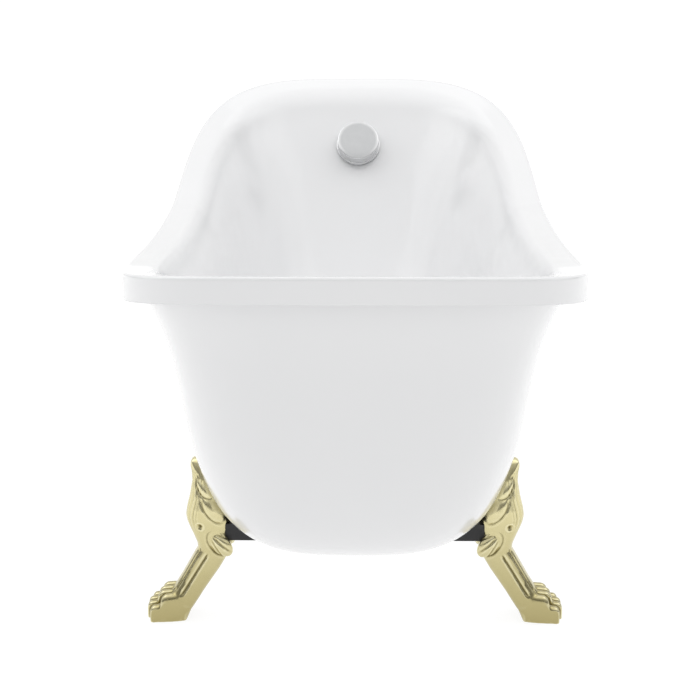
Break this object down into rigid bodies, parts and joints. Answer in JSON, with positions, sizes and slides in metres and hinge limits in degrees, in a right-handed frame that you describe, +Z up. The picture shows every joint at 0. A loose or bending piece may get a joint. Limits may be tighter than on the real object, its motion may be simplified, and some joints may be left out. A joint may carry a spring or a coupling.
{
  "type": "bathtub",
  "caption": "Freestanding slipper bathtub with a raised backrest, rolled rim, double acrylic wall, claw feet, overflow cover and a lifting drain plug.",
  "frame": {"origin": "on the floor, below the middle of the tub's length and width", "axes": "+Z up, +Y along the tub towards the raised backrest, +X to the right when seen from the low end"},
  "size_m": [0.6498, 1.4499, 0.6664],
  "materials": {
    "white_acrylic": "high-gloss white acrylic",
    "champagne_metal": "pale champagne-gold plated casting, satin",
    "black_steel": "black powder coat",
    "chrome": "bright chrome",
    "zinc_steel": "zinc plated",
    "rubber": "matte black rubber",
    "pipe_plastic": "white pipe plastic",
    "plywood": "raw plywood"
  },
  "bodies": {
    "tub": {"inner_basin": "white_acrylic", "outer_skirt": "white_acrylic", "front_left_foot": "champagne_metal", "front_right_foot": "champagne_metal", "rear_left_foot": "champagne_metal", "rear_right_foot": "champagne_metal", "front_crossbar": "black_steel", "rear_crossbar": "black_steel", "overflow_cap": "chrome", "overflow_ring": "chrome", "drain_flange": "chrome", "foot_bolts": "zinc_steel", "foot_washers": "zinc_steel", "bar_screws": "zinc_steel", "bar_nuts": "zinc_steel", "overflow_screw": "zinc_steel", "front_left_pad": "rubber", "front_right_pad": "rubber", "rear_left_pad": "rubber", "rear_right_pad": "rubber", "overflow_gasket": "rubber", "drain_washer": "rubber", "drain_gasket": "rubber", "overflow_elbow": "pipe_plastic", "overflow_pipe": "pipe_plastic", "drain_body": "pipe_plastic", "tail_nut": "pipe_plastic", "drain_tail": "pipe_plastic", "base_board": "plywood"},
    "plug": {"drain_plug": "chrome", "plug_seal": "rubber"}
  },
  "joints": [
    {"name": "plug_lift", "type": "slide", "parent": "tub", "child": "plug", "axis": [0, 0, 1], "range_m": [0, 0.009]}
  ]
}
